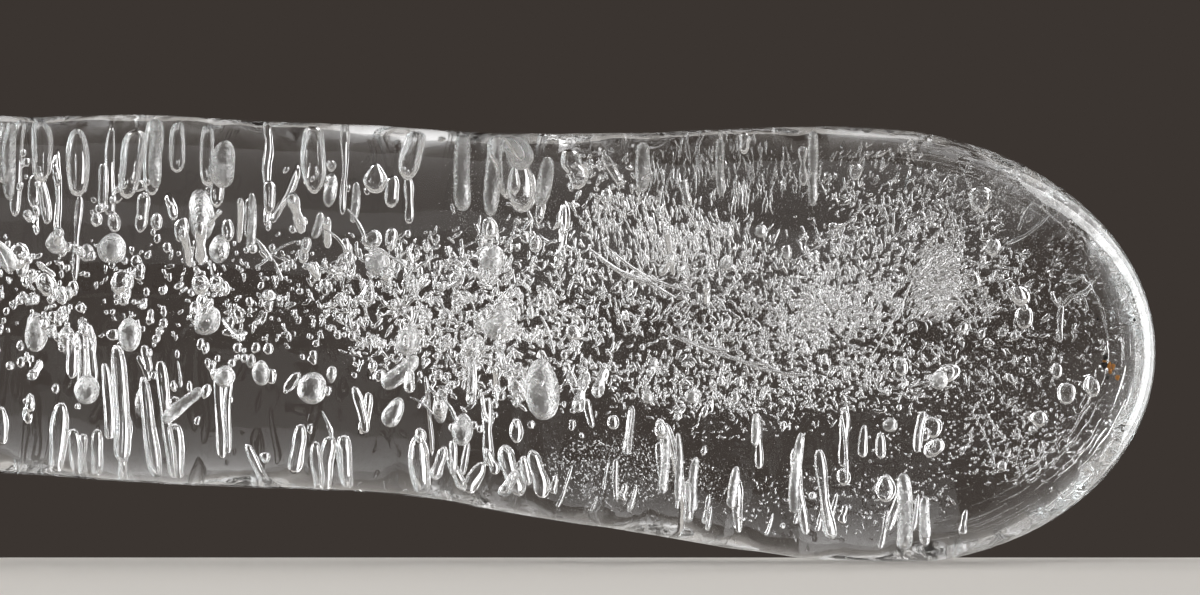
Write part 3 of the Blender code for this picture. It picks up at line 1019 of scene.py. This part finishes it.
def hair_walls(start, end, radius, bow, lumps, flat=None):
    """Bubble walls drawn out as thin as hairs, thinner towards one end."""
    return bubble_walls(
        start, end, radius, HAIR_GRID, HAIR_BLUNT, taper=0.3, bend=bow, lumps=lumps, flat=flat
    )


def listed_hairs():
    """Hairs from the list, on the near side of the core."""
    along, height, end_along, end_height, bow, radius = np.array(HAIRS).T
    lie = chance.uniform(-0.75, -0.5, len(along))
    start = looks_at(along * MM, height * MM, lie)
    end = looks_at(end_along * MM, end_height * MM, lie)
    return hair_walls(start, end, radius * MM, bow, lumps=0.08, flat=SIDEWAYS)


def layer_hairs(count):
    """Flat hairs between the outermost layers of the tip, each on an arc beside its outline.

    With the outline an ellipse, an arc is at one share of both its axes, from turn - reach to
    turn + reach. It bows outwards by (1 - cos reach) / (2 sin reach) of its length."""
    share = LAYERS_FROM + (LAYERS_TO - LAYERS_FROM) * chance.beta(1.6, 1.0, count)
    turn = chance.uniform(-1.4, 1.4, count)
    reach = chance.uniform(0.04, 0.2, count)
    lie = chance.uniform(-0.3, 0.3, count)
    ends = [
        looks_at(
            CAP_LENGTH * (1 - share * np.cos(spin)),
            TIP_HEIGHT + share * TIP_DIAMETER / 2 * np.sin(spin),
            lie * (1 - share),
        )
        for spin in (turn - reach, turn + reach)
    ]
    bow = (1 - np.cos(reach)) / (2 * np.sin(reach))
    radius = chance.uniform(*LAYER_HAIRS_RADIUS, count) * MM
    return hair_walls(*ends, radius, -bow, lumps=0.1, flat=SIDEWAYS)


def hidden_hairs(count):
    """Hairs along the rest of the shaft, more along it than across."""
    along = chance.uniform(*HIDDEN_HAIRS_PLACE, count)
    start = inside(along, chance.uniform(0, 2 * np.pi, count), chance.uniform(0, 0.45, count))
    end = start + chance.normal(size=(count, 3)) * HIDDEN_HAIRS_SPREAD
    radius = chance.uniform(*HIDDEN_HAIRS_RADIUS, count) * MM
    return hair_walls(start, end, radius, bow=0.06, lumps=0.2)


hairs = [listed_hairs(), layer_hairs(LAYER_HAIRS), hidden_hairs(HIDDEN_HAIRS)]
add_bubbles("hair_bubbles", hairs, clear_air)

# -------- mist --------
# Bubbles too small to make out turn parts of the core milky. Real ones are finer: these are a
# fiftieth of a millimetre across, as coarse as they have to be to show.

# From the tip, height, half length and half height of the patch in mm, and how many specks.
MIST_PATCHES = (
    (12.5, 7.6, 5.0, 2.6, 7000),
    (10.0, 7.2, 1.6, 1.2, 1500),
    (18.6, 7.6, 3.2, 3.0, 3200),
    (21.2, 8.4, 1.0, 0.9, 700),
    (6.7, 8.4, 1.0, 1.2, 900),
    (5.0, 6.2, 3.6, 3.0, 3600),
    (12.5, 11.5, 4.5, 1.1, 1300),
    (26.0, 7.9, 3.2, 1.5, 700),
    (9.0, 1.8, 4.0, 1.2, 900),
    (5.6, 11.0, 2.4, 1.3, 900),
    (3.6, 9.4, 1.4, 1.2, 400),
    (20.8, 11.5, 0.3, 1.5, 700),
    (19.9, 11.1, 0.3, 1.2, 500),
    (19.1, 11.9, 0.6, 1.0, 600),
    (18.4, 11.0, 0.4, 1.0, 300),
    (10.3, 11.8, 0.25, 1.4, 450),
    (13.2, 11.9, 0.2, 1.0, 200),
    (5.0, 11.0, 2.6, 1.2, 1500),
    (16.0, 2.9, 2.6, 1.3, 1300),
    (13.6, 2.1, 2.0, 1.2, 800),
    (13.0, 4.7, 3.4, 0.7, 1200),
)
HIDDEN_MIST = (4500, 36 * MM, 70 * MM, 0.22)  # as for the hidden cloud
MIST_RADIUS = 0.009 * MM
SPECK_GRID = (1, 3)


def specks(centre):
    """A six-sided grain at each place: a belt of three corners between two poles."""
    rings, around = SPECK_GRID
    turn = 2 * np.pi / around * np.arange(around)
    belt = np.stack([np.cos(turn), np.sin(turn), 0 * turn], -1)
    corner = np.concatenate([[(0, 0, -1)], belt, [(0, 0, 1)]])
    size = MIST_RADIUS * chance.uniform(0.7, 1.4, len(centre))
    return (centre[:, None] + corner * size[:, None, None]).reshape(-1, 3), SPECK_GRID


def patch_of_mist(along, height, half_length, half_height, count):
    """Specks spread over an ellipse, thinning out towards its edge."""
    scatter = chance.normal(0, 0.5, (2, count))
    along = np.maximum(along + half_length * scatter[0], NEAREST_TIP) * MM
    height = (height + half_height * scatter[1]) * MM
    return specks(looks_at(along, height, chance.normal(0, DEEP, count)))


def matt_material(name, hex_text, roughness):
    """A dull opaque surface of one colour."""
    material = new_material(name)
    settings = {"Base Color": colour(hex_text), "Roughness": roughness}
    surface = add_node(material, "ShaderNodeBsdfPrincipled", settings)
    add_node(material, "ShaderNodeOutputMaterial", links=[(surface, "BSDF", "Surface")])
    return material


# Air in specks: light leaves one in every direction, so it shows as a plain white dot.
mist_white = matt_material("air_mist_white", "f6f6f4", roughness=0.8)
mist = [patch_of_mist(*patch) for patch in MIST_PATCHES] + [specks(scattered(*HIDDEN_MIST))]
add_bubbles("mist", mist, mist_white)

# -------- grit --------
# A few grains of dark grit and of rust-coloured earth, which the water washed down, frozen in
# near the tip.

GRIT_GRID = (5, 8)
GRIT_DEPTH = -0.5  # of the radius, so on the near side of the middle
# From the tip, height, half length and radius, in mm.
DARK_GRIT = (
    (1.58, 6.1, 0.11, 0.08),
    (1.6, 5.86, 0.11, 0.1),
    (1.52, 5.49, 0.07, 0.06),
    (1.8, 7.27, 0.05, 0.04),
    (0.7, 7.24, 0.05, 0.05),
)
RUSTY_GRIT = (
    (1.46, 5.86, 0.11, 0.08),
    (1.33, 5.82, 0.09, 0.07),
    (1.42, 5.7, 0.09, 0.07),
    (1.2, 5.49, 0.08, 0.07),
    (1.6, 5.99, 0.06, 0.05),
)


def grit(table):
    """Lumpy grains with rather pointed ends, more or less upright."""
    along, height, half, radius = np.array(table).T * MM
    centre = looks_at(along, height, GRIT_DEPTH)
    way = unit(chance.normal(size=centre.shape) * (0.4, 0.4, 1))
    half = way * half[:, None]
    return walls_around(centre, half, radius, GRIT_GRID, blunt=1.5, taper=0.2, lumps=0.2)


# Fine earth, worn by water: opaque and dull, so each grain is a flat fleck of its colour.
dark_earth = matt_material("dark_earth", "1a1612", roughness=0.7)
add_bubbles("dark_grit", [grit(DARK_GRIT)], dark_earth)
rusty_earth = matt_material("rusty_earth", "d48c2c", roughness=0.7)
add_bubbles("rusty_grit", [grit(RUSTY_GRIT)], rusty_earth)

# -------- the stage --------
# A plain pale floor that rolls away close behind the ice, so that the ice stands out against the
# dark beyond it.

FLOOR_GAP = 0.02 * MM  # below the ice
FLOOR_REACH = 1.5  # metres
FLOOR_BACK = 1.2  # metres
CREST = 6 * MM
CREST_ROUND = 6 * MM
ROLL_END = 60 * MM
FALL = 1.7  # down for each step back
LEVEL_ROWS = 16
ROLL_ROWS = 90
AWAY_ROWS = 24

# Name, place, width and height in metres, and power in watts. The strips stand behind the ice, and
# draw the bright outlines of its tip and bubbles. The other two are large and dim, so that its
# skin mirrors no small bright shape.
LIGHTS = (
    ("softbox_above", (0.0, -0.5, 2.2), 4.0, 3.0, 36.0),
    ("strip_right", (1.35, 1.65, 0.3), 0.5, 3.2, 21.0),
    ("strip_right_inner", (0.98, 1.96, 0.3), 0.5, 3.2, 7.0),
    ("strip_left", (-1.9, 1.0, 0.85), 0.5, 2.1, 28.0),
    ("softbox_front", (-0.4, -2.3, 1.9), 2.2, 2.2, 17.0),
)
LIGHTS_AIM = Vector((0.0, 0.0, 7 * MM))


def floor_sheet():
    """A sheet over x and y: level up to the crest, then a hyperbola that falls away.

    Past the crest it falls by FALL times hypot(past, CREST_ROUND) minus CREST_ROUND."""
    level = np.linspace(-FLOOR_REACH, 0, LEVEL_ROWS)
    roll = np.linspace(0, ROLL_END, ROLL_ROWS)[1:]
    away = np.linspace(ROLL_END, FLOOR_BACK, AWAY_ROWS)[1:]
    y = np.concatenate([level, roll, away])
    x = np.linspace(-FLOOR_REACH, FLOOR_REACH, 3)
    past = np.maximum(y - CREST, 0)
    z = -FALL * (np.hypot(past, CREST_ROUND) - CREST_ROUND) - FLOOR_GAP
    points = np.stack(np.broadcast_arrays(x[None, :], y[:, None], z[:, None]), -1).reshape(-1, 3)
    row, column = np.meshgrid(np.arange(len(y) - 1), np.arange(len(x) - 1), indexing="ij")
    corner = row * len(x) + column
    quads = np.stack([corner, corner + 1, corner + len(x) + 1, corner + len(x)], -1).reshape(-1, 4)
    return points, quads, np.zeros((0, 3), int)


# Matt pale paint: soft shadows and no highlights.
pale_paint = matt_material("matt_pale_floor", "dcd8d2", roughness=0.9)
floor = add_piece("floor", *floor_sheet(), [pale_paint])

scene = bpy.context.scene
for name, place, width, height, power in LIGHTS:
    lamp = bpy.data.lights.new(name, "AREA")
    lamp.shape = "RECTANGLE"
    lamp.size = width
    lamp.size_y = height
    lamp.energy = power
    light = bpy.data.objects.new(name, lamp)
    light.location = place
    light.rotation_euler = (LIGHTS_AIM - Vector(place)).to_track_quat("-Z", "Y").to_euler()
    scene.collection.objects.link(light)

world = bpy.data.worlds.new("dim_studio")
world.use_nodes = True
world.node_tree.nodes["Background"].inputs["Color"].default_value = colour("3b3531")
scene.world = world

SENSOR = 36.0  # mm
LENS = 400.0  # mm
CAMERA_AWAY = 0.4  # metres
LOOK_AT = Vector((high.x - 16.65 * MM, 0.0, 7.9 * MM))
camera_data = bpy.data.cameras.new("camera")
camera_data.sensor_width = SENSOR
camera_data.lens = LENS
camera_data.clip_start = 0.01
camera_data.clip_end = 10.0
camera = bpy.data.objects.new("camera", camera_data)
camera.location = LOOK_AT + Vector((0.0, -CAMERA_AWAY, 0.0))
camera.rotation_euler = (np.pi / 2, 0.0, 0.0)
scene.collection.objects.link(camera)
scene.camera = camera

# Light passes many bubble walls before it leaves the ice.
BOUNCES = 32
GLOSSY_BOUNCES = 16
scene.cycles.max_bounces = BOUNCES
scene.cycles.transmission_bounces = BOUNCES
scene.cycles.glossy_bounces = GLOSSY_BOUNCES
scene.view_settings.view_transform = "Standard"
